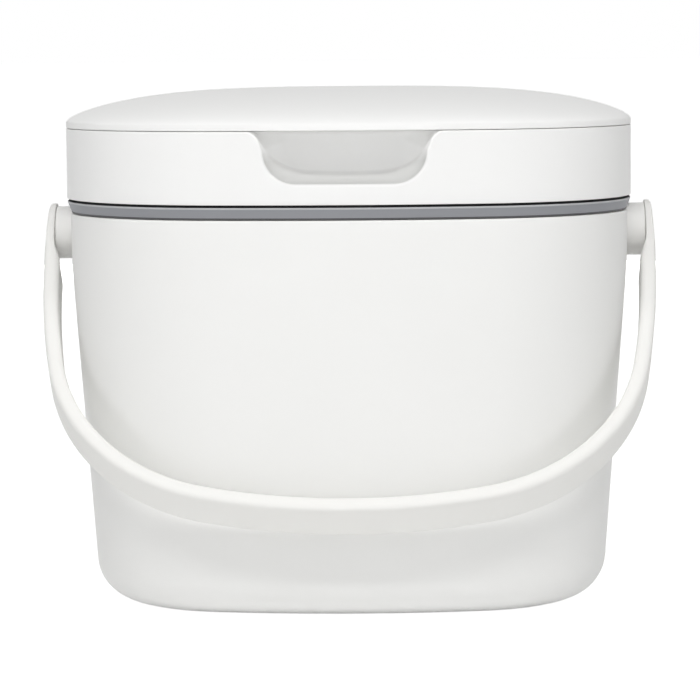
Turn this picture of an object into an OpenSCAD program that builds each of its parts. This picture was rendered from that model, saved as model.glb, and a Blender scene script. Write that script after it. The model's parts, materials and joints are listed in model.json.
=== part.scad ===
// Countertop compost caddy: a moulded bucket with a swinging strap handle, a lift-off lid frame
// with a gray rim seal, and a domed lid that flips up on a rear hinge.
// The origin is the centre of the base. The front, with the finger scoop, faces -Y.

/* [Outline] */
// Width of the lid frame, side to side
lid_w = 238; // [220:1:260]
// Depth of the lid frame, front to back
lid_d = 207; // [195:1:222]
// Corner radius of the lid frame seen from above
corner_r = 76; // [66:1:84]
// Bow radius of the front and back walls seen from above
front_bow_r = 318; // [280:5:380]
// Bow radius of the side walls seen from above
side_bow_r = 617; // [480:5:800]

/* [Bucket] */
// Height of the bucket at its rim
bucket_h = 162.4; // [145:0.2:185]
// Wall thickness of the bucket
bucket_wall = 2.4; // [1.8:0.1:3]
// Thickness of the bucket's floor
bucket_floor = 2.8; // [2:0.1:4]
// Step from the lid frame's face in to the bucket's face
rim_step = 1.5; // [1:0.1:1.8]
// Width of the bucket just above its bottom edge
base_w = 218; // [205:1:224]
// Depth of the bucket just above its bottom edge
base_d = 188; // [178:1:194]
// Radius of the soft bottom edge
bottom_edge_r = 16; // [10:1:22]
// Corner radius of the drafted lower body seen from above
body_corner_r = 60; // [54:1:66]
// Bow radius of the drafted side panels seen from above
side_panel_r = 340; // [280:10:480]
// Softness of the crease where a side panel meets the upright corner
crease_r = 0.7; // [0.3:0.1:1.5]

/* [Lid frame] */
// Height of the white ring
ring_h = 29.2; // [27:0.2:34]
// Wall thickness of the ring
ring_wall = 2.4; // [1.8:0.1:2.6]
// Width of the deck from the outside in to the throat
deck_w = 16; // [15:0.5:20]
// Thickness of the deck
deck_t = 2.2; // [1.8:0.1:2.8]
// Height of the throat lip below the top of the deck
throat_lip_h = 9.9; // [8:0.1:12]
// Wall thickness of the collar that plugs into the bucket
collar_wall = 2; // [1.6:0.1:2.4]
// Clearance between the collar and the inside of the bucket
collar_clearance = 1.5; // [0.8:0.1:2]
// How far the collar reaches below the bucket's rim
collar_drop = 9.4; // [6:0.2:16]
// Height of the gray rim seal that shows
band_h = 5; // [4:0.2:7]
// Height of the dark shadow gap between the rim seal and the ring
shadow_gap = 1; // [0.6:0.1:1.6]

/* [Finger scoop] */
// Width of the scoop at the top of the ring
scoop_w = 71; // [56:1:84]
// Height of the scoop
scoop_h = 20.8; // [16:0.2:22]
// Depth of the scoop behind the ring's face
scoop_depth = 11.4; // [9:0.2:12]
// Radius of the scoop's lower corners
scoop_corner_r = 13; // [9:0.5:16]
// Soft edge round the scoop
scoop_edge_r = 2.2; // [1:0.2:3]

/* [Dome lid] */
// Height of the dome's upright rim
dome_rim_h = 2.2; // [1.6:0.2:4]
// Rise of the dome above its rim
dome_rise = 13.4; // [10:0.2:20]
// Wall thickness of the dome
dome_wall = 2.2; // [1.8:0.1:2.6]
// Gap between the dome and the ring
seam_gap = 0.4; // [0.3:0.1:0.8]
// How far the lid's inner pan drops into the throat
pan_drop = 9.2; // [7:0.2:11]
// Wall thickness of the inner pan
pan_wall = 1.8; // [1.4:0.1:2.4]
// Radial thickness of the lid seal
lid_seal_t = 2.6; // [2.2:0.1:3.4]

/* [Rear hinge] */
// Diameter of the hinge pin
hinge_pin_d = 4; // [3:0.5:5]
// Diameter of the hinge barrel
barrel_d = 10; // [9:0.5:12]
// Width of the hinge over its outer knuckles
hinge_w = 64; // [50:1:90]
// Width of one outer knuckle
knuckle_w = 10; // [8:0.5:14]

/* [Handle] */
// Distance of the pivot axis below the bucket's rim
pivot_drop = 10.2; // [9.8:0.2:20]
// Diameter of the pivot hubs on the bucket
hub_d = 22.4; // [20:0.2:24]
// How far a hub stands proud of the bucket
hub_proud = 8.1; // [6:0.1:9.5]
// Diameter of the pivot pins
pivot_pin_d = 8; // [6:0.5:9]
// Reach of the handle from its pivot axis
handle_reach = 154.5; // [148:0.5:175]
// Thickness of the handle strap
strap_t = 6.6; // [5.6:0.1:8]
// Width of the handle strap
strap_w = 19; // [16:0.5:22]
// Rounding of the strap's long edges
strap_edge_r = 2.2; // [1:0.1:2.6]
// Diameter of the round handle ends
handle_end_d = 25; // [24:0.5:28]
// Thickness of the round handle ends
handle_end_t = 3.1; // [2.8:0.1:4.5]
// Corner radius of the handle
handle_corner_r = 86; // [76:1:95]
// Bow radius of the handle's grip
grip_bow_r = 275; // [240:5:340]
// Bow radius of the handle's arms
arm_bow_r = 350; // [290:10:480]
// Distance of the handle's widest place from its pivot axis
widest_reach = 18; // [0:1:30]
// Gap between the hanging handle and the bucket's front
rest_gap = 1.4; // [1:0.2:6]

/* [Hidden] */
$fn = 48;

white = [0.93, 0.93, 0.92];
seal_gray = [0.55, 0.56, 0.58];
soft_white = [0.85, 0.85, 0.84];

// Clearances between pieces
part_gap = 0.2;
seat_gap = 0.02;
running_gap = 0.05;
swing_gap = 0.3;

// Segments of each outline arc: half the front bow, a corner, half a side bow
front_steps = 4;
corner_steps = 10;
side_steps = 3;

half_w = lid_w / 2;
half_d = lid_d / 2;

// Heights, from the base up
band_z = bucket_h + part_gap;
ring_z = band_z + band_h + shadow_gap;
deck_z = ring_z + ring_h;
dome_z = deck_z + seam_gap;

// ---- The rounded plan: bowed sides joined by corner arcs ----

// A plan is [front centre, front radius, corner centre, corner radius, side centre, side radius]
function plan(a, b, front_r, side_r, cr) =
    let (f = [0, front_r - b],
         s = [a - side_r, 0],
         d = norm(s - f),
         u = (s - f) / d,
         p = front_r - cr,
         q = side_r - cr,
         t = (p * p - q * q + d * d) / (2 * d),
         h = sqrt(p * p - t * t))
    [f, front_r, f + t * u + h * [-u.y, u.x], cr, s, side_r];

function inset_plan(p, t) = [p[0], p[1] - t, p[2], p[3] - t, p[4], p[5] - t];

function heading(from, to) = atan2(to.y - from.y, to.x - from.x);

function arc(c, r, from, to, steps, last = 0) =
    [for (i = [0 : steps - 1 + last]) let (g = from + (to - from) * i / steps) c + r * [cos(g), sin(g)]];

// Points of the plan from the middle of the front to the middle of the right side
function quarter(p) =
    let (g1 = heading(p[0], p[2]), g2 = heading(p[4], p[2]))
    concat(arc(p[0], p[1], -90, g1, front_steps),
           arc(p[2], p[3], g1, g2, corner_steps),
           arc(p[4], p[5], g2, 0, side_steps, 1));

// The same quarter mirrored into a closed outline, counter-clockwise from the front
function outline(p) =
    let (q = quarter(p), n = len(q) - 1)
    concat([for (i = [0 : n - 1]) q[i]],
           [for (i = [n : -1 : 1]) [q[i].x, -q[i].y]],
           [for (i = [0 : n - 1]) [-q[i].x, -q[i].y]],
           [for (i = [n : -1 : 1]) [-q[i].x, q[i].y]]);

lid_plan = plan(half_w, half_d, front_bow_r, side_bow_r, corner_r);

// Distance from the centre to a plan's edge along a unit direction
function edge_radius(p, dir) =
    let (d = [abs(dir.x), -abs(dir.y)],
         g = atan2(d.y, d.x),
         corner_from = heading([0, 0], p[0] + p[1] * (p[2] - p[0]) / norm(p[2] - p[0])),
         corner_to = heading([0, 0], p[4] + p[5] * (p[2] - p[4]) / norm(p[2] - p[4])),
         k = g < corner_from ? 0 : g < corner_to ? 2 : 4,
         c = p[k],
         along = d * c)
    along + sqrt(p[k + 1] * p[k + 1] - c * c + along * along);

function mix(a, b, f) = a + (b - a) * f;

// The smaller of two lengths, with a soft change between them
function soft_min(a, b, k) = let (h = max(k - abs(a - b), 0) / k) min(a, b) - h * h * k / 4;

// ---- Solids skinned over outlines ----

function at_z(points, z) = [for (p = points) [p.x, p.y, z]];

function strip(n, k, next) =
    [for (i = [0 : n - 1]) let (j = (i + 1) % n) each
        [[k * n + i, next * n + i, next * n + j], [k * n + i, next * n + j, k * n + j]]];

// A closed solid through a list of outlines, with a flat cap at the first and the last
module skin(rings) {
    n = len(rings[0]);
    last = len(rings) - 1;
    polyhedron(points = [for (r = rings) each r],
               faces = concat([[for (i = [0 : n - 1]) i]],
                              [for (k = [0 : last - 1]) each strip(n, k, k + 1)],
                              [[for (i = [0 : n - 1]) last * n + (n - i) % n]]),
               convexity = 8);
}

// A section of [inset, height] points, outer side first and upwards, swept round a plan
module sweep_round(p, section) {
    rings = [for (s = section) at_z(outline(inset_plan(p, s.x)), s.y)];
    n = len(rings[0]);
    m = len(rings);
    polyhedron(points = [for (r = rings) each r],
               faces = [for (k = [0 : m - 1]) each strip(n, k, (k + 1) % m)],
               convexity = 8);
}

// A disc-like solid from the same kind of section, closed over the middle at both ends
module skin_round(p, section) {
    skin([for (s = section) at_z(outline(inset_plan(p, s.x)), s.y)]);
}

// ---- Bucket ----

rim_half_w = half_w - rim_step;
rim_half_d = half_d - rim_step;
flare_out = 2; // how far the drafted side panels, run up to the rim, would pass the upright corners
body_draft = (rim_half_w + flare_out - base_w / 2) / (bucket_h - bottom_edge_r);

// The upright corner shape and the drafted lower body, at a height
function upright_plan(z) =
    plan(rim_half_w, front_half_d(z), front_bow_r - rim_step, side_bow_r - rim_step, corner_r - rim_step);
function drafted_plan(z) =
    plan(base_w / 2 + body_draft * (z - bottom_edge_r), front_half_d(z), front_bow_r - rim_step,
         side_panel_r, body_corner_r);
function front_half_d(z) =
    mix(base_d / 2, rim_half_d, (z - bottom_edge_r) / (bucket_h - bottom_edge_r));

body_dirs = [for (p = outline(drafted_plan(bucket_h / 2))) p / norm(p)];

function body_outline(z, t) =
    let (u = inset_plan(upright_plan(z), t), d = inset_plan(drafted_plan(z), t))
    [for (dir = body_dirs) dir * soft_min(edge_radius(u, dir), edge_radius(d, dir), crease_r)];

// Rings of the body's side at a depth t inside its face: the bottom edge, then the wall
edge_steps = 5;
wall_heights = [0.12, 0.27, 0.42, 0.55, 0.66, 0.76, 0.86, 1];
function edge_ring(r, floor_z, t, g) =
    let (z = floor_z + r * (1 - cos(g)))
    at_z(body_outline(z, t + r * (1 - sin(g))), z);
function body_rings(r, floor_z, t, top_z) =
    concat([for (i = [0 : edge_steps]) edge_ring(r, floor_z, t, 90 * i / edge_steps)],
           [for (f = wall_heights) let (z = mix(floor_z + r, top_z, f)) at_z(body_outline(z, t), z)]);

pivot_z = bucket_h - pivot_drop;
hub_end_x = rim_half_w + hub_proud;
hub_edge_r = 0.8;
bush_wall = 1.5;
bush_r = pivot_pin_d / 2 + running_gap + bush_wall;
hub_root_x = rim_half_w - bucket_wall + 0.6;
bush_floor_x = hub_root_x + 1.3;

module mirror_pair() {
    children();
    mirror([1, 0, 0]) children();
}

// A round solid on the pivot axis from a profile of [radius, distance along +X]
module turned_on_pivot(profile) {
    translate([0, 0, pivot_z]) rotate([0, 90, 0]) rotate_extrude() polygon(profile);
}

// An arc of points in a turned profile
function turned_edge(r, x, edge, steps = 4) =
    [for (i = [0 : steps]) [r - edge + edge * cos(90 * i / steps), x - edge + edge * sin(90 * i / steps)]];

module hub() {
    turned_on_pivot(concat([[0, hub_root_x], [hub_d / 2, hub_root_x]],
                           turned_edge(hub_d / 2, hub_end_x, hub_edge_r), [[0, hub_end_x]]));
}

// The hubs stand higher than the rim, so their upper part is trimmed clear of the lid frame that sits there
module lid_frame_room() {
    translate([0, 0, bucket_h]) linear_extrude(hub_d) polygon(outline(inset_plan(lid_plan, -swing_gap)));
}

module hub_bore() {
    turned_on_pivot([[0, bush_floor_x], [bush_r, bush_floor_x], [bush_r, hub_end_x + 1], [0, hub_end_x + 1]]);
}

module bucket() {
    inner_edge_r = bottom_edge_r - bucket_wall;
    outer = body_rings(bottom_edge_r, 0, 0, bucket_h);
    inner = body_rings(inner_edge_r, bucket_floor, bucket_wall, bucket_h);
    m = len(inner) - 1;
    color(white) difference() {
        union() {
            skin(concat(outer, [for (i = [m : -1 : 0]) inner[i]]));
            mirror_pair() hub();
        }
        lid_frame_room();
        mirror_pair() hub_bore();
    }
}

// Plastic sleeve seated in a hub, in which a pivot pin turns
module hub_bush() {
    color(soft_white) turned_on_pivot([[pivot_pin_d / 2 + running_gap, bush_floor_x + seat_gap],
                                       [bush_r - seat_gap, bush_floor_x + seat_gap],
                                       [bush_r - seat_gap, hub_end_x - part_gap],
                                       [pivot_pin_d / 2 + running_gap, hub_end_x - part_gap]]);
}
module hub_bush_left() { mirror([1, 0, 0]) hub_bush(); }
module hub_bush_right() { hub_bush(); }

// ---- Handle ----

end_inner_x = hub_end_x + swing_gap;
handle_end_r = handle_end_d / 2;
pin_seat = handle_end_t - 0.9;

// The arms bow outwards to their widest place, below the round ends
function arm_bow(reach) = arm_bow_r - sqrt(arm_bow_r * arm_bow_r - pow(reach - widest_reach, 2));
handle_half_w = end_inner_x + handle_end_t + arm_bow(0);
function arm_x(reach) = handle_half_w - arm_bow(reach);

// The strap leans towards the front of the bucket, so its rest angle follows from its reach
strap_inner_reach = handle_reach - strap_t;
rest_z = pivot_z - strap_inner_reach * cos(44);
lean_in = atan(strap_w / 2 / strap_inner_reach);
rest_tilt = asin((front_half_d(rest_z) + rest_gap) / norm([strap_inner_reach, strap_w / 2])) + lean_in;

handle_plan = plan(handle_half_w, handle_reach - widest_reach, grip_bow_r, arm_bow_r, handle_corner_r);

function ease(x) = let (c = min(max(x, 0), 1)) c * c * (3 - 2 * c);

// The strap narrows over a flare under the round end, and thickens over a ramp that starts past the hub
flare_reach = 34;
ramp_reach = hub_d / 2 + 0.8;
ramp_len = 12;

// Places along one arm as [distance from the middle, reach]: the round end, the arm, then the corner and grip
tip_angles = [86, 74, 58, 38, 18];
tip_edge_r = handle_end_t / 2 - 0.1;
function tip_drop(g) =
    let (c = max(tip_edge_r - handle_end_r * (1 - sin(g)), 0))
    tip_edge_r - sqrt(tip_edge_r * tip_edge_r - c * c);
arm_reaches = concat([0, ramp_reach / 2], [for (i = [0 : 4]) ramp_reach + ramp_len * i / 4], [flare_reach]);
arm_stations = let (q = quarter(handle_plan), n = len(q) - 1, last = arm_reaches[len(arm_reaches) - 1])
    concat([for (g = tip_angles) let (reach = -handle_end_r * sin(g)) [arm_x(reach) - tip_drop(g), reach]],
           [for (reach = arm_reaches) [arm_x(reach), reach]],
           [for (i = [n : -1 : 0]) let (y = widest_reach - q[i].y) if (y > last + 5) [q[i].x, y]]);

// Half the strap's width and its thickness at a place
function strap_half_w(pt) =
    pt.y < 0 ? sqrt(handle_end_r * handle_end_r - pt.y * pt.y)
             : mix(handle_end_r, strap_w / 2, ease(pt.y / flare_reach));
function strap_thick(pt) = mix(pt.x - end_inner_x, strap_t, ease((pt.y - ramp_reach) / ramp_len));

// Rounded rectangle with its outer face at x = 0, as [inward, across] points
function strap_section(t, w, r) =
    [for (c = [[t - r, w - r, 0], [r, w - r, 90], [r, r - w, 180], [t - r, r - w, 270]], i = [0 : 2])
        [c.x, c.y] + r * [cos(c[2] + 45 * i), sin(c[2] + 45 * i)]];

// Inward direction of the outline at a point of the right-hand arm
function arm_inward(pt) =
    let (p = handle_plan,
         d = [pt.x, widest_reach - pt.y],
         c = heading(p[0], d) < heading(p[0], p[2]) + 0.01 ? p[0]
             : heading(p[4], d) > heading(p[4], p[2]) - 0.01 ? p[4] : p[2])
    (c - d) / norm(c - d);

// One section of the strap, as [across the handle, along the pivot's plane, height] on one side of the handle
function strap_ring(pt, side) =
    let (inward = arm_inward(pt),
         t = strap_thick(pt),
         w = strap_half_w(pt),
         r = min(strap_edge_r, t / 2 - 0.1, w - 0.2))
    [for (s = strap_section(t, w, r)) [side * (pt.x + inward.x * s.x), -s.y, -pt.y + inward.y * s.x]];

module pivot_socket() {
    rotate([0, 90, 0]) translate([0, 0, end_inner_x - 1])
        cylinder(r = pivot_pin_d / 2 + seat_gap, h = pin_seat + 1);
}

module to_rest() {
    translate([0, 0, pivot_z]) rotate([-rest_tilt, 0, 0]) children();
}

module handle() {
    color(white) to_rest() difference() {
        skin(concat([for (pt = arm_stations) strap_ring(pt, -1)],
                    [for (i = [len(arm_stations) - 2 : -1 : 0]) strap_ring(arm_stations[i], 1)]));
        mirror_pair() pivot_socket();
    }
}

// Pin pressed into the handle's end, turning in the hub bush
module pivot_pin() {
    inner_x = bush_floor_x + part_gap;
    color(soft_white) to_rest() rotate([0, 90, 0]) translate([0, 0, inner_x])
        cylinder(r = pivot_pin_d / 2, h = end_inner_x + pin_seat - part_gap - inner_x);
}
module pivot_pin_left() { mirror([1, 0, 0]) pivot_pin(); }
module pivot_pin_right() { pivot_pin(); }

// ---- Lid frame ----

collar_inset = rim_step + bucket_wall + collar_clearance;
lip_bottom_z = deck_z - throat_lip_h;
lip_wall = 2;
flange_z = ring_z + 1.6;
flange_t = 2;
scoop_z = deck_z - scoop_h;
scoop_ramp_h = scoop_h * 2 / 3;
scoop_wall = 2;
scoop_slope = 2.2;

// Outline of the scoop seen from the front, at a depth behind the ring's face and grown by a margin.
// The face's bow fades out towards the flat back of the scoop.
function scoop_shrink(d) = 1 - sqrt(1 - pow(min(max(d, 0), scoop_depth) / scoop_depth, 2));
function scoop_bow(x, d) =
    (front_bow_r - sqrt(front_bow_r * front_bow_r - x * x))
    * (d < -1 ? 0 : 1 - min(max(d, 0) / scoop_depth, 1));
function scoop_ring(d, grow, top_z) =
    let (f = scoop_shrink(d),
         w = scoop_w / 2 - (scoop_corner_r - 3) * f + grow,
         z0 = scoop_z + scoop_ramp_h * f - grow,
         r = min(scoop_corner_r + grow, w, (deck_z - 0.6 - z0) * 0.95),
         half = concat([for (g = [-90 : 15 : 0]) [w - scoop_slope - r + r * cos(g), z0 + r + r * sin(g)]],
                       [for (i = [4 : -1 : 1]) [w * i / 4, top_z]]),
         n = len(half) - 1)
    [for (p = concat([[0, z0]], [for (p = half) [-p.x, p.y]], [[0, top_z]], [for (i = [n : -1 : 0]) half[i]]))
        [p.x, scoop_bow(p.x, d) + d - half_d, p.y]];

function scoop_depths(from) =
    [for (f = [0.12, 0.3, 0.5, 0.7, 0.86, 0.96, 1]) if (f * scoop_depth > from) f * scoop_depth];

// Everything that the finger scoop removes from the ring
module scoop_cut() {
    over = deck_z + 1;
    skin(concat([scoop_ring(-4, scoop_edge_r, over), scoop_ring(-0.1, scoop_edge_r, over),
                 scoop_ring(scoop_edge_r * 0.35, scoop_edge_r * 0.35, over)],
                [for (d = scoop_depths(scoop_edge_r * 0.6)) scoop_ring(d, 0, over)]));
}

// The moulded wall behind the scoop. Its bowed front starts from a small flat patch inside the ring's wall.
module scoop_back() {
    under = deck_z - 0.3;
    mid_z = (scoop_z + deck_z) / 2;
    depths = scoop_depths(ring_wall / 2 - 0.4);
    patch = [for (p = scoop_ring(depths[0], scoop_wall, under))
                [p.x / 6, depths[0] - half_d, mix(mid_z, p.z, 1 / 6)]];
    back = [for (p = scoop_ring(scoop_depth, scoop_wall, under)) [p.x, p.y + scoop_wall, p.z]];
    skin(concat([patch], [for (d = depths) scoop_ring(d, scoop_wall, under)], [back]));
}

hinge_y = half_d + barrel_d / 2 + 0.6;
hinge_z = dome_z + dome_rim_h - barrel_d / 2 + 0.2;
knuckle_x = hinge_w / 2 - knuckle_w;
hinge_bush_wall = 1.1;
hinge_bush_r = hinge_pin_d / 2 + running_gap + hinge_bush_wall;

// A cylinder along the hinge axis between two places on X
module hinge_rod(r, from, to) {
    translate([from, hinge_y, hinge_z]) rotate([0, 90, 0]) cylinder(r = r, h = to - from);
}

// Ring knuckle: a barrel on a web that grows out of the rear wall
module ring_knuckle() {
    difference() {
        union() {
            hinge_rod(barrel_d / 2, knuckle_x + swing_gap, hinge_w / 2);
            translate([knuckle_x + swing_gap, half_d - ring_wall - 1.4, hinge_z - barrel_d / 2])
                cube([knuckle_w - swing_gap, hinge_y - half_d + ring_wall + 1.4, barrel_d / 2]);
        }
        hinge_rod(hinge_bush_r, knuckle_x, hinge_w / 2 + 1);
    }
}

module frame_ring() {
    edge = 0.5;
    color(white) union() {
        difference() {
            union() {
                sweep_round(lid_plan, [
                    [edge / 2, ring_z], [0, ring_z + edge / 2], [0, deck_z - edge], [edge, deck_z],
                    [deck_w, deck_z], [deck_w, lip_bottom_z], [deck_w - lip_wall, lip_bottom_z],
                    [deck_w - lip_wall, deck_z - deck_t], [ring_wall, deck_z - deck_t], [ring_wall, ring_z]]);
                scoop_back();
            }
            scoop_cut();
        }
        mirror_pair() ring_knuckle();
    }
}

// Funnel under the deck: a flange over the rim seal, a sleeve into the bucket and a neck up to the throat
module frame_collar() {
    sleeve_in = collar_inset + collar_wall;
    neck_out = deck_w - lip_wall;
    flare = (neck_out - collar_inset) * 1.15;
    color(soft_white) sweep_round(lid_plan, [
        [collar_inset, bucket_h - collar_drop], [collar_inset, flange_z], [ring_wall + part_gap, flange_z],
        [ring_wall + part_gap, flange_z + flange_t], [collar_inset, flange_z + flange_t],
        [neck_out, flange_z + flange_t + flare], [neck_out, lip_bottom_z - part_gap / 2],
        [deck_w, lip_bottom_z - part_gap / 2], [deck_w, flange_z + flange_t + flare - 0.8],
        [sleeve_in, flange_z + 1.2], [sleeve_in, bucket_h - collar_drop]]);
}

// Soft gray seal: the band that shows, and a neck that holds it under the collar's flange
module rim_seal() {
    neck = ring_wall + 0.8;
    color(seal_gray) sweep_round(lid_plan, [
        [rim_step - part_gap, band_z], [0, band_z + band_h], [neck, band_z + band_h],
        [neck, flange_z - part_gap / 2], [collar_inset - part_gap / 2, flange_z - part_gap / 2],
        [collar_inset - part_gap / 2, band_z]]);
}

// ---- Dome lid ----

// Height of the dome over its rim at a share of the way out from the middle
dome_fullness = 3.2;
dome_shoulder = 0.665;
function dome_height(f) = dome_rise * pow(1 - pow(f, dome_fullness), dome_shoulder);
dome_shares = [0.985, 0.955, 0.91, 0.85, 0.77, 0.66, 0.5, 0.3, 0.12];
function scaled(points, f) = [for (p = points) p * f];

// Dome knuckle: the middle barrel, the leaf that joins it to the rim, and the heel that stops the lid
module dome_knuckle() {
    w = knuckle_x;
    leaf_z = dome_z + 0.1;
    stop_r = hinge_y - half_d - 0.15;
    difference() {
        union() {
            hinge_rod(barrel_d / 2, -w, w);
            translate([-w, half_d - dome_wall + 0.4, leaf_z])
                cube([2 * w, hinge_y - half_d + dome_wall - 0.4, hinge_z + barrel_d / 2 - leaf_z]);
            translate([-w / 2, hinge_y, hinge_z]) rotate([-75, 0, 0]) translate([0, 0, -1])
                cube([w, stop_r, 2]);
        }
        hinge_rod(hinge_pin_d / 2 + seat_gap, -w - 1, w + 1);
    }
}

module lid_dome() {
    rim = outline(lid_plan);
    inner_rim = outline(inset_plan(lid_plan, dome_wall));
    shoulder_z = dome_z + dome_rim_h;
    edge = 0.5;
    n = len(dome_shares) - 1;
    rings = concat([for (i = [n : -1 : 1]) let (f = dome_shares[i])
                       at_z(scaled(inner_rim, f), shoulder_z + dome_height(f) - dome_wall)],
                   [at_z(inner_rim, shoulder_z - edge), at_z(inner_rim, dome_z),
                    at_z(outline(inset_plan(lid_plan, edge / 2)), dome_z), at_z(rim, dome_z + edge / 2),
                    at_z(rim, shoulder_z)],
                   [for (f = dome_shares) at_z(scaled(rim, f), shoulder_z + dome_height(f))]);
    color(white) union() {
        skin(rings);
        dome_knuckle();
    }
}

// Inner pan: a flange inside the dome's rim, and a floor that drops into the throat
pan_inset = deck_w + lid_seal_t + 2 * part_gap;
module lid_pan() {
    pan_z = deck_z - pan_drop;
    flange_low = dome_z + part_gap / 2;
    flange_top = flange_low + pan_wall * 2 / 3;
    flange_out = dome_wall + part_gap / 2;
    edge = 2;
    color(soft_white) skin_round(lid_plan, [
        [pan_inset + edge, pan_z], [pan_inset, pan_z + edge], [pan_inset, flange_low],
        [flange_out, flange_low], [flange_out, flange_top], [pan_inset + pan_wall, flange_top],
        [pan_inset + pan_wall, pan_z + edge + 0.4], [pan_inset + edge + 1.2, pan_z + pan_wall]]);
}

// Lip seal round the pan, closing on the throat lip
module lid_seal() {
    mid = lip_bottom_z + throat_lip_h / 2;
    root = lid_seal_t * 0.85;
    lip = lid_seal_t * 0.15;
    color(seal_gray) sweep_round(lid_plan, [
        [pan_inset - lid_seal_t / 2, mid - root],
        [deck_w + part_gap, mid - lip], [deck_w + part_gap, mid + lip],
        [pan_inset - lid_seal_t / 2, mid + root], [pan_inset - part_gap / 2, mid + root],
        [pan_inset - part_gap / 2, mid - root]]);
}

// ---- Hinge pin and its bushes ----

module hinge_pin() {
    color("silver") hinge_rod(hinge_pin_d / 2, -hinge_w / 2 + part_gap, hinge_w / 2 - part_gap);
}

module hinge_bush() {
    color(soft_white) difference() {
        hinge_rod(hinge_bush_r - seat_gap, knuckle_x + swing_gap, hinge_w / 2 - part_gap);
        hinge_rod(hinge_pin_d / 2 + running_gap, knuckle_x, hinge_w / 2 + 1);
    }
}
module hinge_bush_left() { mirror([1, 0, 0]) hinge_bush(); }
module hinge_bush_right() { hinge_bush(); }

bucket();
hub_bush_left();
hub_bush_right();
handle();
pivot_pin_left();
pivot_pin_right();
frame_ring();
frame_collar();
rim_seal();
lid_dome();
lid_pan();
lid_seal();
hinge_pin();
hinge_bush_left();
hinge_bush_right();
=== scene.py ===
import json
from math import asin, atan, atan2, cos, hypot, pi, radians, sin, sqrt

import bmesh
import bpy
from mathutils import Matrix, Vector


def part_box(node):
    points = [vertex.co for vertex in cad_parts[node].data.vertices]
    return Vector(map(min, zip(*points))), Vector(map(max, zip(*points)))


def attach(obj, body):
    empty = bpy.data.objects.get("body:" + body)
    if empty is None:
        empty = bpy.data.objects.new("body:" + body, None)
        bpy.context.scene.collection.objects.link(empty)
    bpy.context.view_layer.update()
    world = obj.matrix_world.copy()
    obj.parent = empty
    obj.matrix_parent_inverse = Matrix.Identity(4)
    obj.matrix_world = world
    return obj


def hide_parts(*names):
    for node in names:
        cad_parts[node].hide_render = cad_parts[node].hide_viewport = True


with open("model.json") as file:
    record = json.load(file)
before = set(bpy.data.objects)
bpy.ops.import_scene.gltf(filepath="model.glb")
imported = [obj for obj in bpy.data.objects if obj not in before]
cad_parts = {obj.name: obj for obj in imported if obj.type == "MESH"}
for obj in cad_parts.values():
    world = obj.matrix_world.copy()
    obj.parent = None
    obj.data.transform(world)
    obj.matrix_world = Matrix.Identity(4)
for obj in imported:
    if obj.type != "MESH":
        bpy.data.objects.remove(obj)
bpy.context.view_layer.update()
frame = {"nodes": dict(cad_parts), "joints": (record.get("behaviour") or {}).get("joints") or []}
mm = 0.001  # every shape below is worked out in millimetres and scaled once, in finishPiece
seamGap, weldGap = 0.02, 0.003  # how near points join, across a mirror and in a finished piece
hair = 1e-6  # more than rounding can shift a number
arcSteps = 4  # in each rounded corner of a section
sharpAngle = 32  # degrees between two faces, from which their edge stays crisp


def boxInMm(node):
    low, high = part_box(node)
    return low / mm, high / mm


joints = {joint["name"]: joint for joint in frame["joints"]}
pivotZ = joints["handle_swing"]["pos_m"][2] / mm
hingeY, hingeZ = (joints["lid_flip"]["pos_m"][axis] / mm for axis in (1, 2))
sealLow, sealHigh = boxInMm("rim_seal")
halfWidth, halfDepth = sealHigh.x, -sealLow.y
ringZ = boxInMm("frame_ring")[0].z

# the rounded plan that every ring follows
outline = {"frontBow": 318, "sideBow": 617, "corner": 76,
           "frontSteps": 22, "cornerSteps": 84, "sideSteps": 14}


def mix(a, b, share):
    return a + (b - a) * share


def ease(x):
    x = min(max(x, 0), 1)
    return x * x * (3 - 2 * x)


def heading(start, end):
    return atan2(end[1] - start[1], end[0] - start[0])


class Plan:
    # front and side bows joined by corner arcs, seen from above
    def __init__(self, halfW, halfD, frontR, sideR, cornerR):
        self.front, self.side = Vector((0, frontR - halfD)), Vector((halfW - sideR, 0))
        apart = (self.side - self.front).length
        along = (self.side - self.front) / apart
        p, q = frontR - cornerR, sideR - cornerR
        t = (p * p - q * q + apart * apart) / (2 * apart)
        self.corner = self.front + along * t + Vector((-along.y, along.x)) * sqrt(p * p - t * t)
        self.frontR, self.sideR, self.cornerR = frontR, sideR, cornerR
        self.frontTurn = heading(self.front, self.corner)
        self.sideTurn = heading(self.side, self.corner)

    def centreOf(self, place):  # of the arc that a place in the front right quarter is on
        if heading(self.front, place) < self.frontTurn:
            return self.front
        if heading(self.side, place) > self.sideTurn:
            return self.side
        return self.corner

    def inward(self, point):  # square to the edge, towards the inside
        place = Vector((abs(point[0]), -abs(point[1])))
        way = self.centreOf(place) - place
        way.normalize()
        return Vector((way.x * (1 if point[0] >= 0 else -1), way.y * (-1 if point[1] > 0 else 1)))

    def reach(self, way, inset):  # from the middle to the edge along a unit direction
        q = Vector((abs(way[0]), -abs(way[1])))
        best = None
        for centre, radius, low, high in ((self.front, self.frontR, -pi / 2, self.frontTurn),
                                          (self.corner, self.cornerR, self.frontTurn, self.sideTurn),
                                          (self.side, self.sideR, self.sideTurn, 0.0)):
            r = radius - inset
            along = q.dot(centre)
            under = r * r - centre.length_squared + along * along
            if under < 0:
                continue
            far = along + sqrt(under)
            turn = heading(centre, q * far)
            miss = max(low - turn, turn - high, 0)
            if best is None or miss < best[0]:
                best = (miss, far)
        return best[1]


lidPlan = Plan(halfWidth, halfDepth, outline["frontBow"], outline["sideBow"], outline["corner"])


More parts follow.
